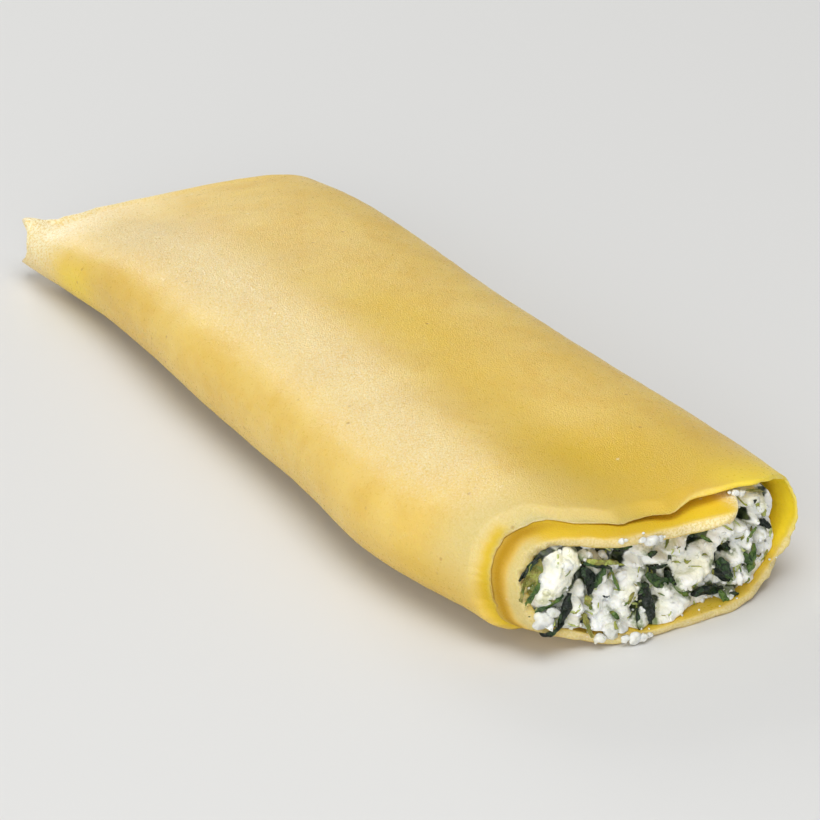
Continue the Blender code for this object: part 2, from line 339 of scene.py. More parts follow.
def section(angle, x, depth):
    """Y and Z of the rolled section.

    y = middle + (half width - radius) * tanh(f cos a) / tanh(f) + (radius - depth) * cos a
    z = radius + (radius - depth) * sin a, less the dent on top, never under its own depth
    """
    turn = np.radians(angle)
    spread = np.tanh(SIDE_FULLNESS * np.cos(turn)) / math.tanh(SIDE_FULLNESS)
    left = -through(STATIONS, LEFT_REACH, x)
    right = through(STATIONS, RIGHT_REACH, x)
    share = 0.5 + 0.5 * spread
    low_side = through(STATIONS, LEFT_HEIGHT, x)
    high_side = through(STATIONS, RIGHT_HEIGHT, x)
    radius = 0.5 * (low_side * (1.0 - share) + high_side * share)
    half = 0.5 * (right - left) - radius
    y = 0.5 * (left + right) + half * spread + (radius - depth) * np.cos(turn)
    rise = np.sin(turn)
    lift = radius - depth + np.where(rise < 0.0, UNDERSIDE_SINK, 0.0)
    on_top = ease((rise - 0.2) / 0.6) * ease((x - DENT_FROM) / DENT_RUN)
    dent = DENT_DEPTH * bell(y - DENT_CENTRE, DENT_WIDTH) * on_top
    return y, np.maximum(radius + lift * rise - dent, depth)


def wrap_depth(angle):
    """Depth of the sheet's outer face: the first turn lies a thickness and a gap under the last."""
    return (PASTA_THICK + WRAP_GAP) * ease((TUCK_TO - angle) / (TUCK_TO - TUCK_FROM))


def last_turn_share(angle):
    """0 on the sheet's first turn, rising to 1 where the last turn wraps over it."""
    return ease((angle - 400.0) / 20.0)


def towards_open(x):
    """0 over most of the roll, rising to 1 near the open end."""
    return ease((x - 30.0) / 25.0)


def start_sag(angle, x):
    """How far the first turn hangs below its place near its start, towards the open end."""
    return 0.9 * bell(angle - 84.0, 12.0) * towards_open(x)


def corner(angle):
    """How far the sheet's rounded corners are cut back next to its loose end."""
    return CORNER_CUT * ease((angle - SHEET_END + CORNER_TURN) / CORNER_TURN)


def open_end(angle):
    """Place of the cut edge at the open end: a smooth curve through its row, cut back at the corner."""
    return through(OPEN_EDGE[:, 0], OPEN_EDGE[:, 1], angle) - corner(angle)


def far_end(angle):
    """Place of the cut edge at the far end: two points on the left with a notch between them."""
    points = sum(size * bell(off(angle, place), spread) for place, size, spread in FAR_POINTS)
    return FAR_END + waves(FAR_WAVES, angle) + points + corner(angle)


def filling_depth(angle):
    """Depth of the filling's side: under one layer of pasta, or under two past the sheet's start."""
    lap = PASTA_THICK + WRAP_GAP
    under_start = lap * ease((angle - SHEET_START + 22.0) / 18.0)
    tucked = np.where(angle > TUCK_FROM - 60.0, wrap_depth(angle), under_start)
    return lap + tucked


# -------- meshes

def grid_quads(rows, cols, wrap_cols=False):
    """Quads between neighbouring rows and columns of a grid of points."""
    i = np.arange(rows - 1)[:, None]
    j = np.arange(cols if wrap_cols else cols - 1)[None, :]
    after = (j + 1) % cols
    a = i * cols + j
    b = i * cols + after
    return np.stack((a, b, b + cols, a + cols), -1).reshape(-1, 4)


def capped_tube(rows, cols):
    """Faces of rows of closed rings with a fan at each end; the two hubs are the last points."""
    j = np.arange(cols)
    after = (j + 1) % cols
    hub = rows * cols
    first = np.stack((np.full(cols, hub), after, j), -1)
    last = np.stack((np.full(cols, hub + 1), j, after), -1)
    last[:, 1:] += (rows - 1) * cols
    return [grid_quads(rows, cols, True), np.concatenate((first, last))]


def add_object(name, data):
    """New object for a mesh, a light or a camera, linked into the scene."""
    thing = bpy.data.objects.new(name, data)
    bpy.context.scene.collection.objects.link(thing)
    return thing


def make_piece(name, points, faces, material, marks):
    """Mesh object from points in millimetres, arrays of faces and named values per point."""
    mesh = bpy.data.meshes.new(name)
    mesh.vertices.add(len(points))
    mesh.vertices.foreach_set("co", (points * MM).astype(np.float32).ravel())
    corners = np.concatenate([f.ravel() for f in faces])
    sizes = np.concatenate([np.full(len(f), f.shape[1]) for f in faces])
    mesh.loops.add(len(corners))
    mesh.loops.foreach_set("vertex_index", corners.astype(np.int32))
    mesh.polygons.add(len(sizes))
    mesh.polygons.foreach_set("loop_start", (np.cumsum(sizes) - sizes).astype(np.int32))
    mesh.update(calc_edges=True)
    mesh.validate()
    mesh.shade_smooth()
    for key, values in marks.items():
        layer = mesh.attributes.new(key, "FLOAT", "POINT")
        layer.data.foreach_set("value", np.ascontiguousarray(values, dtype=np.float32).ravel())
    mesh.materials.append(material)
    return add_object(name, mesh)


def join_shapes(shapes):
    """One set of points, faces by size and marks from many small shapes."""
    points, quads, tris, marks = [], [], [], []
    count = 0
    for shape_points, (shape_quads, shape_tris), mark in shapes:
        points.append(shape_points)
        quads.append(shape_quads + count)
        tris.append(shape_tris + count)
        marks.append(np.full(len(shape_points), mark))
        count += len(shape_points)
    return np.concatenate(points), [np.concatenate(quads), np.concatenate(tris)], np.concatenate(marks)


# -------- material nodes

class Recipe:
    """A Principled material and short calls that add the nodes it is mixed from."""

    def __init__(self, name):
        self.material = bpy.data.materials.new(name)
        self.material.use_nodes = True
        self.tree = self.material.node_tree
        self.shader = self.tree.nodes["Principled BSDF"]
        self.place = self.node("ShaderNodeTexCoord").outputs["Object"]

    def node(self, kind, sockets=None, **settings):
        """Adds a node; a socket is set to a value or joined to another node's output."""
        made = self.tree.nodes.new(kind)
        for key, value in settings.items():
            setattr(made, key, value)
        for key, value in (sockets or {}).items():
            self.put(made.inputs[key], value)
        return made

    def put(self, socket, value):
        """Sets a socket or links an output to it; a colour gets its alpha of 1."""
        if isinstance(value, bpy.types.NodeSocket):
            self.tree.links.new(value, socket)
        else:
            socket.default_value = (*value, 1.0) if socket.type == "RGBA" else value

    def noise(self, scale, detail=3.0, roughness=0.5, distortion=0.0):
        """Noise in 0..1 over the object."""
        sockets = {
            "Vector": self.place, "Scale": scale, "Detail": detail, "Roughness": roughness,
            "Distortion": distortion}
        return self.node("ShaderNodeTexNoise", sockets).outputs["Fac"]

    def mark(self, name):
        """Value painted on the points of the mesh."""
        return self.node("ShaderNodeAttribute", attribute_name=name).outputs["Fac"]

    def span(self, value, low, high, to_low=0.0, to_high=1.0):
        """Value carried smoothly from one range to another and held there."""
        sockets = {0: value, 1: low, 2: high, 3: to_low, 4: to_high}
        return self.node("ShaderNodeMapRange", sockets, interpolation_type="SMOOTHSTEP").outputs[0]

    def plus(self, a, b):
        """Sum of two values."""
        return self.node("ShaderNodeMath", {0: a, 1: b}, operation="ADD").outputs[0]

    def times(self, a, b):
        """Product of two values."""
        return self.node("ShaderNodeMath", {0: a, 1: b}, operation="MULTIPLY").outputs[0]

    def ramp(self, value, stops):
        """Colour read off a row of (place, colour) stops."""
        made = self.node("ShaderNodeValToRGB", {"Fac": value})
        for stop in stops[2:]:
            made.color_ramp.elements.new(stop[0])
        for element, (place, colour) in zip(made.color_ramp.elements, stops):
            element.position = place
            element.color = (*colour, 1.0)
        return made.outputs["Color"]

    def mix(self, share, a, b):
        """Blend of two colours."""
        made = self.node("ShaderNodeMix", data_type="RGBA")
        for index, value in ((0, share), (6, a), (7, b)):
            self.put(made.inputs[index], value)
        return made.outputs[2]

    def over(self, share, tint):
        """Lays a share of a colour over what is mixed so far."""
        self.colour = self.mix(share, self.colour, tint)

    def spots(self, scale, inner, outer):
        """Round spots scattered over the object: 1 within the inner distance, 0 past the outer."""
        cells = self.node("ShaderNodeTexVoronoi", {"Vector": self.place, "Scale": scale})
        return self.span(cells.outputs["Distance"], inner, outer, 1.0, 0.0)

    def bump(self, height, distance, strength):
        """Fine relief on the shading."""
        sockets = {"Height": height, "Distance": distance, "Strength": strength}
        return self.node("ShaderNodeBump", sockets).outputs["Normal"]

    def finish(self, **sockets):
        """Sets the shader's sockets, written with _ for a space."""
        for key, value in sockets.items():
            self.put(self.shader.inputs[key.replace("_", " ")], value)
        return self.material


def pasta_material():
    """Egg pasta: golden mottling with pores and flour, tinted by the marks painted on the sheet.

    The marks are rich, amber, lemon, cream and pale for its colour and for painted light: painted
    shade in the crease, on shaded cut faces and on the top and left near the open end, a painted
    glow inside, and along the crest a painted highlight, whose glints, specks and grain follow a
    mark of their own; matte is for less shine.
    """
    r = Recipe("egg_pasta")
    ridge_highlight = r.mark("ridge_highlight")
    broad = r.span(r.noise(95, 6, 0.66, 0.5), 0.34, 0.68)
    fine = r.span(r.noise(420, 4, 0.6), 0.3, 0.72)
    grain = r.noise(3600, 3, 0.65)
    r.colour = r.mix(broad, DOUGH, DOUGH_LIGHT)
    r.over(r.times(fine, 0.35), DOUGH_FINE)
    r.over(r.plus(r.mark("rich"), r.times(r.plus(fine, -0.5), 0.16)), YOLK)
    for name, tint in (("amber", AMBER), ("lemon", LEMON), ("cream", CREAM)):
        r.over(r.mark(name), tint)
    speckle = r.span(grain, 0.4, 0.58)
    r.over(r.times(r.mark("pale"), r.span(speckle, 0.0, 1.0, 0.36, 1.1)), PALE_AND_HIGHLIGHT)
    pore = r.times(r.spots(420, 0.05, 0.13), r.span(r.noise(160, 2), 0.55, 0.66))
    r.over(r.times(pore, 0.55), PORE)
    # Dark specks and light glints, thickest along the crest, give the painted highlight there its grain.
    speck = r.span(r.noise(3400, 3, 0.7, 0.6), 0.53, 0.66)
    r.over(r.times(speck, r.span(ridge_highlight, 0.0, 1.0, 0.1, 0.55)), SPECK)
    bright = r.span(r.noise(4300, 2, 0.6), 0.52, 0.64)
    r.over(r.times(bright, r.times(ridge_highlight, 0.38)), HIGHLIGHT_GLINT)
    flour = r.times(r.spots(260, 0.035, 0.075), r.span(r.noise(70, 2), 0.5, 0.6))
    r.over(r.times(flour, 0.5), FLOUR)
    pits = r.span(r.noise(5200, 2, 0.6), 0.3, 0.62)
    height = r.plus(r.times(grain, 0.5), r.times(pits, 0.45))
    height = r.plus(height, r.times(pore, -0.8))
    return r.finish(
        Base_Color=r.colour, Roughness=r.span(r.noise(2200, 3, 0.65), 0.3, 0.7, 0.24, 0.5),
        Normal=r.bump(height, 0.00014, r.span(ridge_highlight, 0.0, 1.0, 0.35, 0.8)), Subsurface_Weight=0.25,
        Subsurface_Radius=(1.0, 0.7, 0.15), Subsurface_Scale=0.0022,
        Specular_IOR_Level=r.span(r.mark("matte"), 0.0, 1.0, 0.5, 0.12))


def curd_material():
    """Ricotta: moist creamy white, mottled with painted bluish-grey shade and olive leaf juice, with
    painted shade in the gaps.

    The marks are butter for a yellower curd, one for leaf juice and painted shade round a leaf, and shade
    for the painted shade of a gap.
    """
    r = Recipe("ricotta")
    r.colour = r.mix(r.span(r.noise(190, 2), 0.5, 0.72), CURD, CURD_WARM)
    r.over(r.mark("butter"), BUTTER)
    # Bluish-grey mottling: painted shade on the curds.
    r.over(r.times(r.span(r.noise(520, 4, 0.62, 0.6), 0.42, 0.66), 0.32), BLUE_GREY_SHADE)
    r.over(r.times(r.span(r.noise(300, 4, 0.62, 0.8), 0.55, 0.7), 0.55), JUICE)
    r.over(r.times(r.span(r.noise(1300, 2, 0.5, 1.5), 0.66, 0.74), 0.5), FLECK)
    ragged = r.span(r.noise(900, 3, 0.6), 0.3, 0.7, -0.28, 0.28)
    # Dark green round the leaves: leaf juice and painted shade.
    r.over(r.span(r.plus(r.mark("stain_and_shade"), ragged), 0.25, 1.0), STAIN_AND_SHADE)
    gap = r.mix(r.span(r.noise(900, 3), 0.4, 0.65), GAP_DARK, GAP_GREEN)
    r.over(r.span(r.mark("shade"), 0.25, 0.85), gap)
    return r.finish(
        Base_Color=r.colour, Roughness=0.3,
        Normal=r.bump(r.noise(1500, 5, 0.65), 0.00022, 0.7), Subsurface_Weight=0.35,
        Subsurface_Radius=(1.0, 0.9, 0.65), Subsurface_Scale=0.0008, Specular_IOR_Level=0.55)


def leaf_material():
    """Wet cooked spinach: near black to mid green and olive in patches, ribbed and glossy."""
    r = Recipe("spinach")
    patch = r.span(r.noise(620, 4, 0.66, 0.5), 0.3, 0.72, -0.14, 0.18)
    return r.finish(
        Base_Color=r.ramp(r.plus(r.mark("tone"), patch), LEAF_TONES), Roughness=0.22,
        Normal=r.bump(r.noise(1500, 4, 0.6, 1.0), 0.0004, 0.9), Specular_IOR_Level=0.5)


# -------- the pasta sheet

def sheet_loop():
    """Path round the sheet's thickness: share of its length and share of its depth at each step.

    Out along the outer face, through the cut edge at the open end, back along the inner face and
    through the cut edge at the far end. Steps are closest at the ends.
    """
    run = np.linspace(0.0, 1.0, SHEET_LENGTHS + 1)
    run = run - 0.1 * np.sin(2.0 * math.pi * run) - 0.02 * np.sin(4.0 * math.pi * run)
    down = np.linspace(0.0, 1.0, EDGE_STEPS + 2)[1:-1]
    lengths = np.concatenate((run, np.ones(EDGE_STEPS), run[::-1], np.zeros(EDGE_STEPS)))
    depths = np.concatenate((np.zeros(len(run)), down, np.ones(len(run)), down[::-1]))
    return lengths, depths


def ragged_edge(angle, deep, seed):
    """Unevenness of a torn cut: noise of three sizes round the section, varied through the depth."""
    turn = angle / 360.0 * GIRTH
    long = value_noise(turn / 9.0, 0.0, 0.0, seed)
    mid = value_noise(turn / 3.1, deep * 0.8, 0.0, seed + 1)
    small = value_noise(turn / 0.95, deep * 1.6, 0.0, seed + 2)
    calm = 1.0 - 0.6 * ease((angle - 488.0) / 14.0)
    return RAGGED * calm * (long + 0.9 * mid + 0.8 * small)


def crest_angle(x):
    """Where the crest on top runs: it bears left towards the open end."""
    return 103.0 + 0.0035 * np.maximum(x, 0.0) ** 2


def patch(x, angle, spot):
    """Soft patch on the sheet: a bell along X times a bell round the section."""
    along, length, place, width = spot
    return bell(x - along, length) * bell(off(angle, place), width)


def sheet_relief(angle, x):
    """Rise of the surface in millimetres.

    Sags and ripples, a hollow over the far end and one low on the right, the crest on top, the
    tip's ear and neck, and a swollen hem low on the left of the open end.
    """
    turn = angle / 360.0 * GIRTH
    sag = 0.2 * rough(x, turn, 0.0, 17.0, 5, 2) * ease((70.0 - x) / 30.0)
    ripple = 0.05 * rough(x, turn, 0.0, 3.2, 9, 2)
    far_top = -0.45 * ease((-10.0 - x) / 20.0) * bell(off(angle, 95.0), 45.0)
    near_right = -0.6 * ease((x - 45.0) / 15.0) * bell(off(angle, 330.0), 35.0)
    crest = 0.55 * bell(off(angle, crest_angle(x)), 10.0)
    crest = crest * ease((x + 48.0) / 25.0) * ease((62.0 - x) / 12.0)
    ear = ease((-60.5 - x) / 3.0) * bell(off(angle, 140.0), 14.0)
    neck = -0.5 * patch(x, angle, TIP_NECK)
    hem = 0.8 * patch(x, angle, SWOLLEN_HEM)
    return sag + ripple + far_top + near_right + crest + ear + neck + hem


def sheet_depth(angle, deep, x, inset):
    """Depth within the roll: the turn's own depth plus a share of the thickness.

    The first turn sags near its start and begins in a thick lip. Towards the cut at the open end
    the last turn thins from outside where it lies over the first and, on the right, from inside;
    inset is the distance from the cut.
    """
    open_side = towards_open(x)
    lip = 1.5 * ease((SHEET_START + 6.0 - angle) / 4.0) * open_side
    swollen = 0.22 * (1.0 - ease((angle - 200.0) / 30.0)) * open_side
    feather = FEATHER * ease((2.2 - inset) / 2.2) * ease((angle - 440.0) / 10.0)
    flare = FLARE * ease((4.0 - inset) / 4.0) * bell(angle - 380.0, 48.0)
    outside = wrap_depth(angle) + start_sag(angle, x) + feather * (1.0 - deep)
    return outside + (PASTA_THICK + lip + swollen - flare) * deep


def sheet_marks(angle, deep, x, y, z, near, far):
    """Marks for the pasta's material: shares from 0 to 1 by turn, side, cut and patch."""
    place = angle % 360.0
    outer = 1.0 - deep
    last_turn = last_turn_share(angle)
    skin = last_turn * outer
    first_turn = 1.0 - ease((angle - 226.0) / 12.0)
    near_side = ease((x - 20.0) / 10.0)
    # The cuts, and the inside that shows past them on the right.
    # Inside on the right: lemon over the inner face, a painted glow of light through the sheet.
    inside_right = ease((angle - 312.0) / 30.0) * (1.0 - ease((angle - 436.0) / 12.0)) * near_side
    # On the right rim: lemon near the cut instead of pale, painted light.
    right_rim = ease((angle - 338.0) / 14.0) * (1.0 - ease((angle - 428.0) / 14.0)) * near_side
    # Cut faces on the left and under the top: less pale, and amber on the left, painted shade.
    left_cut = ease((angle - 486.0) / 12.0)
    hidden_cut = np.clip(last_turn + first_turn * ease((angle - 128.0) / 20.0), 0.0, 1.0)
    edge = bell(near - x, 0.35) + bell(x - far, 0.35)
    cut = np.clip(edge * ease(deep * (1.0 - deep) * 12.0) + 0.25 * edge, 0.0, 1.0)
    cut = cut * (1.0 - 0.6 * hidden_cut * near_side) * (1.0 - 0.8 * left_cut)
    cut = cut * (1.0 - 0.6 * right_rim)
    hem = bell(near - x - 0.5, 0.8) * left_cut * outer
    lip = bell(near - x, 2.6) * ease((angle - 452.0) / 12.0) * outer
    lip = lip * (1.0 - ease((angle - 478.0) / 14.0))
    # The first turn, where it shows past the last one.
    start = 1.0 - ease((angle - 72.0) / 5.0)
    under = bell(angle - 84.0, 11.0)
    # Band: the first turn under the last turn's edge, yolk with some amber for painted shade, and lemon
    # on its right part, painted light against the overhang's shadow.
    band = first_turn * ease((x - 50.0) / 4.0) * outer * (1.0 - start)
    band = band * (1.0 - ease((angle - 122.0) / 16.0))
    past_cut = x - open_end(angle + 360.0)
    # Crease: amber where the first turn meets the last turn's cut, painted shade.
    crease = first_turn * bell(past_cut - 0.7, 1.2) * outer * ease((angle - 108.0) / 25.0)
    strip = first_turn * ease(past_cut - 1.6) * ease((angle - 122.0) / 16.0) * near_side * outer
    # The outside of the last turn.
    # Near the open end's top: duller yolk and amber, painted shade.
    near_top = bell(y - 4.0, 11.0) * ease((x - 34.0) / 20.0) * ease((z - 8.0) / 6.0) * skin
    # Left side near the open end: cream dulls it, painted shade.
    near_left = ease((x - 45.0) / 9.0) * bell(off(place, 146.0), 42.0) * skin * (1.0 - hem)
    golden = bell(np.hypot(x - 6.0, 1.4 * (y - 0.5)), 9.0) * ease((z - 9.0) / 4.0) * skin
    far_top = ease((-25.0 - x) / 20.0) * bell(off(place, 75.0), 35.0) * skin
    far_gold = patch(x, place, FAR_GOLD) * skin
    # Low on the left near the open end: yolk and amber, painted shade.
    low_left = patch(x, place, LOW_LEFT) * skin
    tip_patch = patch(x, place, TIP_PATCH) * last_turn
    tip = ease((-50.0 - x) / 9.0) * bell(place - 150.0, 55.0)
    # Valley right of the crest: yolk and a little amber, painted shade.
    valley = bell(off(place, crest_angle(x) - 16.0), 9.0) * ease((x + 16.0) / 14.0) * skin
    # Ridge left of the crest: pale with glints and specks, a painted highlight, partly flour.
    from_crest = off(place, crest_angle(x) + 8.0)
    ridge = bell(from_crest, np.where(from_crest > 0.0, 24.0, 10.0)) * skin
    ridge = ridge * ease((x + 62.0) / 16.0) * ease((58.0 - x) / 20.0)
    # Yolk on all inner faces is a painted glow of light through the sheet.
    rich = 0.95 * ease(deep * 3.0) + 0.95 * band + 0.78 * near_top + 0.36 * valley
    rich = rich + 0.25 * golden + 0.8 * tip_patch + 0.5 * low_left + hem
    pale = (0.36 + 0.3 * under) * cut + 0.12 * (strip + near_left) + 0.95 * tip + 0.4 * ridge
    # Amber is painted shade in the crease, on the left cut face, near the top, low on the left, in the
    # valley, on the band and at the tip's fold.
    amber = crease + 0.3 * hem + 0.8 * left_cut * edge * ease(4.0 * deep)
    # The tip's fold: amber, a painted fold shadow.
    amber = amber + 0.8 * patch(x, place, TIP_FOLD) + 0.38 * near_top + 0.24 * low_left
    amber = amber + 0.2 * far_gold + 0.07 * valley + 0.18 * band * (1.0 - 0.6 * under)
    # Lemon: painted glow inside on the right and painted light on the right rim.
    lemon = inside_right * ease(deep * 3.0) + 0.8 * right_rim * outer * bell(near - x, 5.5)
    matte = 0.8 * near_top + inside_right * deep + first_turn * outer * near_side
    marks = {
        "rich": rich * (1.0 - cut),
        "pale": pale + 0.8 * start * near_side,
        "amber": amber,
        # Cream on the left side near the open end is painted shade.
        "cream": 0.95 * strip + 0.85 * near_left + 0.7 * cut + 0.3 * lip,
        # Over the band's right part lemon is painted light; on the tip patch it is a tone.
        "lemon": lemon + 0.5 * tip_patch + 0.3 * band * under,
        "matte": matte + 0.7 * far_top + 0.8 * hem,
        # Painted highlight along the crest, for its glints, specks and grain.
        "ridge_highlight": ridge,
    }
    return {name: np.clip(share, 0.0, 1.0) for name, share in marks.items()}


def sheet_ends(loop):
    """Faces that close the sheet's first and last edges along the roll, strip and corner fans."""
    side = SHEET_LENGTHS + 1
    last = SHEET_STEPS * loop
    out = np.arange(side - 1)
    inner = side + EDGE_STEPS + np.arange(side)[::-1]
    faces = [np.stack((out, inner[out], inner[out + 1], out + 1), -1)]
    faces.append(np.stack((out, out + 1, inner[out + 1], inner[out]), -1) + last)
    near_cut = np.arange(side - 1, side + EDGE_STEPS + 1)
    far_cut = np.concatenate((np.arange(loop - EDGE_STEPS - 1, loop), [0]))
    for chain in (near_cut, far_cut):
        fan = np.stack((np.full(EDGE_STEPS, chain[0]), chain[2:], chain[1:-1]), -1)
        faces.append(fan)
        faces.append(fan[:, ::-1] + last)
    return faces


def make_pasta(material):
    """The rolled sheet: the section swept by angle and length, closed through its four cut edges."""
    lengths, depths = sheet_loop()
    deep, angle = np.meshgrid(depths, np.linspace(SHEET_START, SHEET_END, SHEET_STEPS + 1))
    rounding = 0.25 * (2.0 * deep - 1.0) ** 2
    near = open_end(angle) + ragged_edge(angle, deep, 40) - rounding
    near = near - UNDERCUT * last_turn_share(angle) * deep
    far = far_end(angle) + 0.8 * ragged_edge(angle, deep, 60) + rounding
    x = far + (near - far) * lengths
    place = angle % 360.0
    on_table = ease((place - 225.0) / 20.0) * ease((315.0 - place) / 20.0)
    inside_ends = ease((near - x) / 1.5) * ease((x - far) / 1.5)
    relief = sheet_relief(place, x) * (1.0 - on_table) * (0.4 + 0.6 * inside_ends)
    y, z = section(angle, x, sheet_depth(angle, deep, x, near - x) - relief)
    points = np.stack((x + ORIGIN_SHIFT, y, z), -1).reshape(-1, 3)
    faces = [grid_quads(SHEET_STEPS + 1, len(lengths), True)] + sheet_ends(len(lengths))
    outwards = [face[:, ::-1] for face in faces]
    marks = sheet_marks(angle, deep, x, y, z, near, far)
    return make_piece("rolled_pasta", points, outwards, material, marks)


# -------- the filling

def near_lumps(y, z):
    """The named curds' caps run together, over places warped by noise.

    (sum of (rise * (1 - u^2 - v^2)^0.7)^5)^(1/5), u and v being the place in each curd's half sizes.
    """
    wy = y + 0.5 * rough(y, z, 0.0, 2.4, 71)
    wz = z + 0.5 * rough(y, z, 0.0, 2.4, 75)
    caps = np.zeros(np.broadcast(y, z).shape)
    for across, up, half_width, half_height, rise, lean in NEAR_CURDS:
        c, s = math.cos(math.radians(lean)), math.sin(math.radians(lean))
        u = ((wy - across) * c + (wz - up) * s) / half_width
        v = ((wz - up) * c - (wy - across) * s) / half_height
        caps = caps + (rise * np.clip(1.0 - u * u - v * v, 0.0, 1.0) ** 0.7) ** 5
    return caps ** 0.2, wy, wz


def leaf_juice_and_shade(y, z):
    """Darkness that the named leaves leave round them: a bell of the distance past their width."""
    dark = np.zeros(np.shape(y))
    # Dark green round each leaf: its juice and painted shade.
    for *knots, half_width, _, tone in NEAR_LEAVES:
        for across, up in arc(np.array(knots)[:, None, :], np.linspace(0.0, 1.0, 9)[:, None]):
            past = np.maximum(np.hypot(y - across, z - up) - 0.7 * half_width, 0.0)
            dark = np.maximum(dark, (0.7 - 0.55 * tone) * bell(past, 0.4))
    return dark


def near_face(y, z):
    """Place along X of the curd face at the open end, over the section plane, and its shade.

    A plane drawn back at the top and low on the right, and forward low on the left, carries the
    caps of the named curds, two sizes of pebbles and fine noise, less the bells of the named
    hollows. Low places and hollows are in shade.
    """
    back = 0.07 * np.maximum(z - 5.0, 0.0) + 1.8 * ease((y - 13.0) / 7.0) * ease((11.0 - z) / 4.0)
    back = back - 1.3 * ease((4.5 - z) / 3.5) * ease((11.0 - y) / 9.0)
    caps, wy, wz = near_lumps(y, z)
    small = 0.34 * pebbles(wy, wz, 1.7, 81) + 0.2 * pebbles(y + 3.3, z + 1.7, 0.9, 82)
    pits = np.zeros(np.shape(caps))
    hollow = np.zeros(np.shape(caps))
    for across, up, width, depth in NEAR_HOLLOWS:
        pit = bell(np.hypot(wy - across, wz - up), width)
        pits = pits + depth * pit
        hollow = np.maximum(hollow, pit)
    rise = 0.72 * caps + small - pits
    shade = ease((0.34 + 0.45 * rough(y, z, 0.0, 1.6, 86, 2) - rise) / 0.45)
    shade = np.maximum(shade, ease((hollow - 0.25) / 0.4))
    return FILLING_NEAR + 0.5 - back + rise + 0.08 * rough(y, z, 0.0, 0.5, 83, 2), shade


def far_face(y, z):
    """Place along X of the curd face inside the far end, and its shade: pebbles on a hollow plane."""
    lumps = 1.7 * pebbles(y, z, 4.6, 91) + 0.7 * pebbles(y + 2.0, z, 1.8, 92)
    lumps = lumps + 0.3 * pebbles(y, z, 0.8, 93)
    shade = ease((0.9 + 0.4 * rough(y, z, 0.0, 2.0, 96, 2) - lumps) / 0.5)
    return FILLING_FAR + 1.0 - lumps - 0.15 * rough(y, z, 0.0, 1.0, 94, 2), shade


def face_side(angle, x):
    """Edge of the filling, drawn in on the right and low left of the open end to show the inside."""
    pull = 3.4 * bell(off(angle, 9.0), 34.0) + 0.7 * bell(off(angle, 248.0), 8.0)
    pull = pull * ease((x - 50.0) / 9.0)
    return section(angle, x, filling_depth(angle) + start_sag(angle, x) + pull)


def end_rings(angle, share, face, plane):
    """Rings of one curd face: the filling's edge drawn in by shares towards its middle."""
    side_y, side_z = face_side(angle, plane)
    mid_y = 0.5 * (side_y.max() + side_y.min())
    mid_z = 0.5 * (side_z.max() + side_z.min())
    y = mid_y + (side_y - mid_y) * share
    z = mid_z + (side_z - mid_z) * share
    x, shade = face(y, z)
    return np.stack((x, y, z), -1), shade


def make_filling(material):
    """One skin of curd: rings out over the far face, along the side and in over the near face.

    The marks are shade in gaps, and near the open end leaf juice and painted shade round the named
    leaves and butter on the curd at the left.
    """
    angle = np.linspace(0.0, 360.0, FILLING_TURNS, endpoint=False)[None, :]
    outwards = np.linspace(0.0, 1.0, FAR_RINGS + 1)[1:, None] ** 0.8
    inwards = np.linspace(1.0, 0.0, NEAR_RINGS + 1)[:-1, None] ** 0.8
    far_rings, far_shade = end_rings(angle, outwards, far_face, FILLING_FAR)
    near_rings, near_shade = end_rings(angle, inwards, near_face, FILLING_NEAR)
    run = np.linspace(0.0, 1.0, SIDE_RINGS + 2)[1:-1, None]
    x = far_rings[-1:, :, 0] * (1.0 - run) + near_rings[:1, :, 0] * run
    side_rings = np.stack((x, *face_side(angle, x)), -1)
    rings = np.concatenate((far_rings, side_rings, near_rings))
    rings[..., 0] += ORIGIN_SHIFT
    shade = np.concatenate((far_shade, 0.5 + 0.0 * x, near_shade))
    hubs = np.stack((rings[0].mean(0), rings[-1].mean(0)))
    points = np.concatenate((rings.reshape(-1, 3), hubs))
    open_half = ease(points[:, 0] / 10.0)
    big_curd = bell(np.hypot(points[:, 1] + 9.5, points[:, 2] - 10.2), 2.6)
    marks = {
        "shade": np.concatenate((shade.ravel(), [shade[0].mean(), shade[-1].mean()])),
        "stain_and_shade": leaf_juice_and_shade(points[:, 1], points[:, 2]) * open_half,
        "butter": 0.6 * big_curd * open_half,
    }
    return make_piece("curd_mass", points, capped_tube(len(rings), FILLING_TURNS), material, marks)


def lump(centre, radii, seed, turns=22, rows=13):
    """Uneven ball: radii * direction * (1 + noise), on rings of latitude between two poles."""
    lat = np.linspace(-0.5 * math.pi, 0.5 * math.pi, rows + 2)[:, None]
    lon = np.linspace(0.0, 2.0 * math.pi, turns, endpoint=False)[None, :]
    wide = np.cos(lat)
    way = np.stack((wide * np.cos(lon), wide * np.sin(lon), np.sin(lat) + 0.0 * lon), -1)
    swell = 1.0 + 0.36 * rough(way[..., 0], way[..., 1], way[..., 2], 0.9, seed, 2)
    ball = np.array(centre) + way * swell[..., None] * np.array(radii)
    points = np.concatenate((ball[1:-1].reshape(-1, 3), ball[:1, 0], ball[-1:, 0]))
    return points, capped_tube(rows, turns)


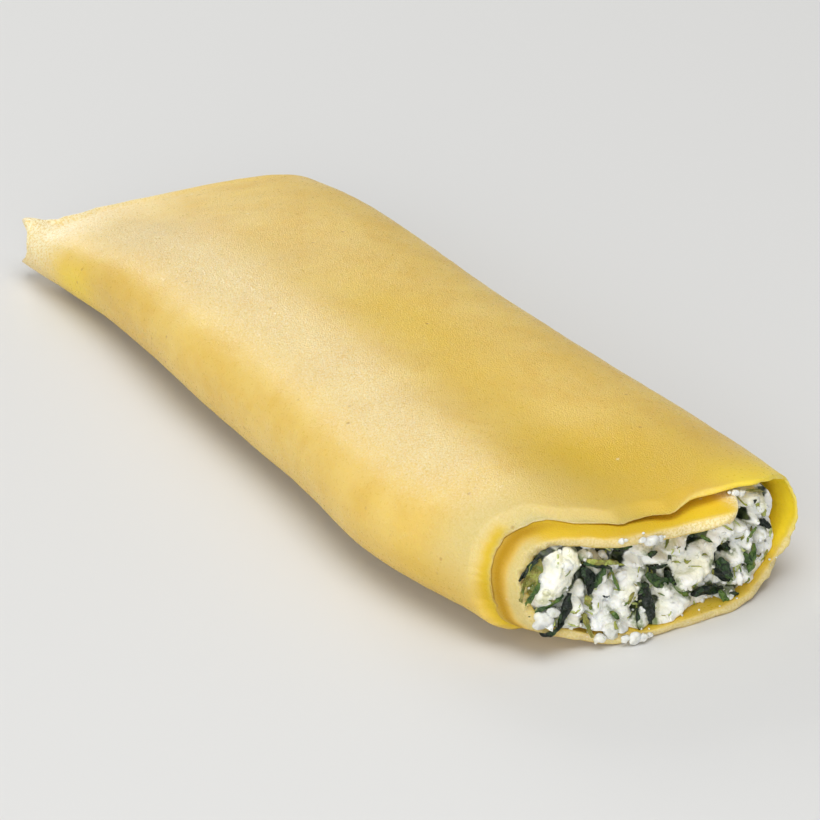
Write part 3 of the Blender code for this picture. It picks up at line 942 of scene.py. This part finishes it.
def blade(knots, half_width, half_thick, curl, seed, rings=22, around=18):
    """Closed flat strip carried along the quadratic curve of three knots, facing the open end.

    Its ring is side * width * cos p + normal * (thickness * sin p + curl * cos^2 p + wrinkles), and
    the width follows sin^0.6 along its length with a ragged edge.
    """
    a, b, c = (np.array(k, dtype=float) for k in knots)
    s = np.linspace(0.0, 1.0, rings)[:, None]
    path = arc((a, b, c), s)
    tangent = 2.0 * (1.0 - s) * (b - a) + 2.0 * s * (c - b)
    tangent = tangent / np.linalg.norm(tangent, axis=1, keepdims=True)
    side = np.cross((1.0, 0.0, 0.0), tangent)
    side = side / np.maximum(np.linalg.norm(side, axis=1, keepdims=True), 1e-6)
    normal = np.cross(tangent, side)
    turn = np.linspace(0.0, 2.0 * math.pi, around, endpoint=False)[None, :]
    across = np.cos(turn)
    width = half_width * np.sin(math.pi * (0.05 + 0.9 * s)) ** 0.6
    width = width * (1.0 + 0.35 * value_noise(s * rings * 0.3, np.sign(across), 0.5, seed))
    wrinkle = 0.42 * half_width * rough(s * 5.0, across * 1.6, 0.0, 1.0, seed + 3)
    height = half_thick * np.sin(turn) + curl * half_width * across ** 2 + wrinkle
    points = path[:, None, :] + side[:, None, :] * (width * across)[..., None]
    points = points + normal[:, None, :] * height[..., None]
    hubs = np.stack((points[0].mean(0), points[-1].mean(0)))
    return np.concatenate((points.reshape(-1, 3), hubs)), capped_tube(rings, around)


def edge_crumbs(count, first, last, seed):
    """Small crumbs of curd stuck along the cut edge of the open end between two angles."""
    rng = np.random.default_rng(seed)
    shapes = []
    for index in range(count):
        angle = rng.uniform(first, last)
        size = rng.uniform(0.06, 0.17)
        x = open_end(angle) + rng.uniform(-0.6, 0.25)
        y, z = section(angle, x, wrap_depth(angle) + start_sag(angle, x) + rng.uniform(-0.1, 1.3))
        centre = (x + ORIGIN_SHIFT, y, max(z, 0.9 * size))
        radii = size * rng.uniform(0.7, 1.2, 3)
        shapes.append(lump(centre, radii, seed + index, 12, 7) + (rng.uniform(0.0, 0.3),))
    return shapes


def on_face(face, y, z, lift):
    """Point on a curd face, lifted out of the roll by some millimetres."""
    x = face(np.array([y]), np.array([z]))[0][0]
    outwards = 1.0 if face is near_face else -1.0
    return x + ORIGIN_SHIFT + outwards * lift, y, z


def scatter(face, count, margin, seed):
    """Repeatable places over a curd face, inside its edge by a margin."""
    place = FILLING_NEAR if face is near_face else FILLING_FAR
    angle = np.linspace(0.0, 360.0, 181)
    edge_y, edge_z = face_side(angle, place)
    mid_y, mid_z = edge_y.mean(), edge_z.mean()
    edge_bearing = np.arctan2(edge_z - mid_z, edge_y - mid_y)
    edge_reach = np.hypot(edge_y - mid_y, edge_z - mid_z)
    rng = np.random.default_rng(seed)
    places = []
    while len(places) < count:
        y, z = rng.uniform(edge_y.min(), edge_y.max()), rng.uniform(0.8, edge_z.max())
        bearing = math.atan2(z - mid_z, y - mid_y)
        nearest = np.argmin(np.abs(np.angle(np.exp(1j * (edge_bearing - bearing)))))
        if math.hypot(y - mid_y, z - mid_z) + margin < edge_reach[nearest]:
            places.append((y, z))
    return places


def make_curds(material):
    """Loose curds and crumbs on the ends and cut edges, from 0.1 to 2.6 millimetres across."""
    rng = np.random.default_rng(7)
    shapes = []
    for index, (y, z) in enumerate(scatter(near_face, 30, 0.6, 11)):
        size = rng.uniform(0.3, 0.8)
        radii = size * rng.uniform(0.7, 1.3, 3)
        centre = on_face(near_face, y, z, -0.35 * size)
        shapes.append(lump(centre, radii, 200 + index) + (rng.uniform(0.0, 0.2),))
    for face, count, seed in ((near_face, 240, 12), (far_face, 90, 13)):
        for index, (y, z) in enumerate(scatter(face, count, 0.1, seed)):
            size = rng.uniform(0.1, 0.3)
            centre = on_face(face, y, z, 0.1 * size)
            radii = size * rng.uniform(0.7, 1.2, 3)
            shapes.append(lump(centre, radii, 400 + index, 10, 6) + (rng.uniform(0.0, 0.3),))
    for count, first, last in EDGE_CRUMBS:
        shapes += edge_crumbs(count, first, last, 5000 + first)
    for index, (x, y, z, radius) in enumerate(RIM_CURDS):
        radii = radius * np.array((0.7, 1.1, 0.8))
        shapes.append(lump((x, y, z), radii, 800 + index, 30, 18) + (0.42,))
    points, faces, shade = join_shapes(shapes)
    return make_piece("loose_curds", points, faces, material, {"shade": shade})


def lying_path(face, y, z, dy, dz, bend, lifts):
    """Three knots on a curd face: one tip, the middle moved by a bend, and the other tip."""
    places = ((y - dy, z - dz), (y + bend[0], z + bend[1]), (y + dy, z + dz))
    return [on_face(face, *place, lift) for place, lift in zip(places, lifts)]


def strewn_leaves(face, count, seed, sizes):
    """Small leaves lying among the curds of one end, their tips tucked in."""
    rng = np.random.default_rng(seed)
    shapes = []
    for index, (y, z) in enumerate(scatter(face, count, 0.4, seed + 1)):
        lean = rng.uniform(0.0, 2.0 * math.pi)
        reach = rng.uniform(1.6, 2.6) * sizes[1]
        dy, dz = reach * math.cos(lean), 0.8 * reach * math.sin(lean)
        bend = rng.uniform(-0.5, 0.5, 2)
        lifts = (-rng.uniform(0.0, 0.4), rng.uniform(0.3, 0.6), -rng.uniform(0.0, 0.4))
        knots = lying_path(face, y, z, dy, dz, bend, lifts)
        tone = rng.choice((0.0, 0.05, 0.2, 0.55), p=(0.35, 0.25, 0.25, 0.15))
        half_width, curl = rng.uniform(*sizes), rng.uniform(-0.9, 0.9)
        shapes.append(blade(knots, half_width, 0.07, curl, 700 + index) + (tone,))
    return shapes


def make_leaves(material):
    """Chopped spinach: the named leaves at the open end, then small ones strewn over both ends."""
    rng = np.random.default_rng(21)
    shapes = []
    for index, (*knots, half_width, lifts, tone) in enumerate(NEAR_LEAVES):
        places = [on_face(near_face, y, z, 0.0) for y, z in knots]
        level = sum(p[0] for p in places) / 3.0
        path = [(0.5 * p[0] + 0.5 * level + lift, p[1], p[2]) for p, lift in zip(places, lifts)]
        curl = rng.uniform(-0.5, 0.5)
        shapes.append(blade(path, half_width, 0.09, curl, 600 + index, 28, 24) + (tone,))
    shapes += strewn_leaves(near_face, 14, 22, (0.2, 0.4))
    shapes += strewn_leaves(far_face, 30, 24, (0.3, 0.75))
    points, faces, tone = join_shapes(shapes)
    return make_piece("spinach_leaves", points, faces, material, {"tone": tone})


def make_shreds(material):
    """Thin bright shreds of stem and leaf lying over the curds of both ends."""
    rng = np.random.default_rng(31)
    shapes = []
    for face, count, seed in ((near_face, 100, 32), (far_face, 40, 33)):
        for index, (y, z) in enumerate(scatter(face, count, 0.3, seed)):
            lean = rng.uniform(0.0, 2.0 * math.pi)
            reach = rng.uniform(0.2, 0.8)
            dy, dz = reach * math.cos(lean), reach * math.sin(lean)
            knots = lying_path(face, y, z, dy, dz, rng.uniform(-0.45, 0.45, 2), (0.05, 0.25, 0.05))
            radius = rng.uniform(0.05, 0.11)
            width = radius * rng.uniform(1.0, 2.6)
            shapes.append(blade(knots, width, radius, 0.0, 900 + index, 10, 8) + (rng.uniform(0.4, 1.0),))
    points, faces, tone = join_shapes(shapes)
    return make_piece("spinach_shreds", points, faces, material, {"tone": tone})


# -------- the stage

def aim(thing, target):
    """Turns a light or camera to look at a place."""
    way = np.array(target) - np.array(thing.location)
    side = np.hypot(way[0], way[1])
    thing.rotation_euler = (math.atan2(side, -way[2]), 0.0, math.atan2(-way[0], way[1]))


def direction(azimuth, elevation):
    """Unit vector from the object to a place seen at an azimuth and elevation."""
    a, e = math.radians(azimuth), math.radians(elevation)
    return np.array((math.sin(a) * math.cos(e), -math.cos(a) * math.cos(e), math.sin(e)))


def make_camera():
    """Long lens looking down along the roll from its open end's left."""
    lens = bpy.data.cameras.new("camera")
    lens.lens = LENS
    lens.clip_start = 0.01
    camera = add_object("camera", lens)
    camera.location = CAMERA_TARGET + CAMERA_DISTANCE * direction(*CAMERA_VIEW)
    aim(camera, CAMERA_TARGET)
    bpy.context.scene.camera = camera


def make_floor():
    """Pale even floor."""
    corners = [(-3.0, -3.0, 0.0), (3.0, -3.0, 0.0), (3.0, 3.0, 0.0), (-3.0, 3.0, 0.0)]
    mesh = bpy.data.meshes.new("floor")
    mesh.from_pydata(corners, [], [(0, 1, 2, 3)])
    r = Recipe("pale_floor")
    mesh.materials.append(r.finish(Base_Color=(0.72, 0.72, 0.71), Roughness=0.85))
    floor = add_object("floor", mesh)


def make_lights():
    """A key behind the far end grazing the top, three soft lights around, and a dim room."""
    for name, azimuth, elevation, distance, size, watts, colour in LIGHTS:
        lamp = bpy.data.lights.new(name, "AREA")
        lamp.size = size
        lamp.energy = watts
        lamp.color = colour
        light = add_object(name, lamp)
        light.location = distance * direction(azimuth, elevation)
        aim(light, LIGHTS_TARGET)
    world = bpy.data.worlds.new("surroundings")
    world.use_nodes = True
    room = world.node_tree.nodes["Background"]
    room.inputs["Color"].default_value = (1.0, 1.0, 1.0, 1.0)
    room.inputs["Strength"].default_value = ROOM_LIGHT
    bpy.context.scene.world = world
    bpy.context.scene.view_settings.view_transform = "Standard"


def dress(piece, slot, *nodes):
    """Fixes a piece to the roll and hides the solids that it stands for."""
    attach(piece, "root")
    if nodes:
        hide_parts(*nodes)


def main():
    """Makes the five pieces, then the camera, the floor and the lights."""
    dress(make_pasta(pasta_material()), "egg_pasta", "pasta_sheet")
    curd = curd_material()
    leaf = leaf_material()
    dress(make_filling(curd), "ricotta_spinach", "filling")
    for piece in (make_curds(curd), make_leaves(leaf), make_shreds(leaf)):
        dress(piece, "ricotta_spinach")
    make_camera()
    make_floor()
    make_lights()


main()
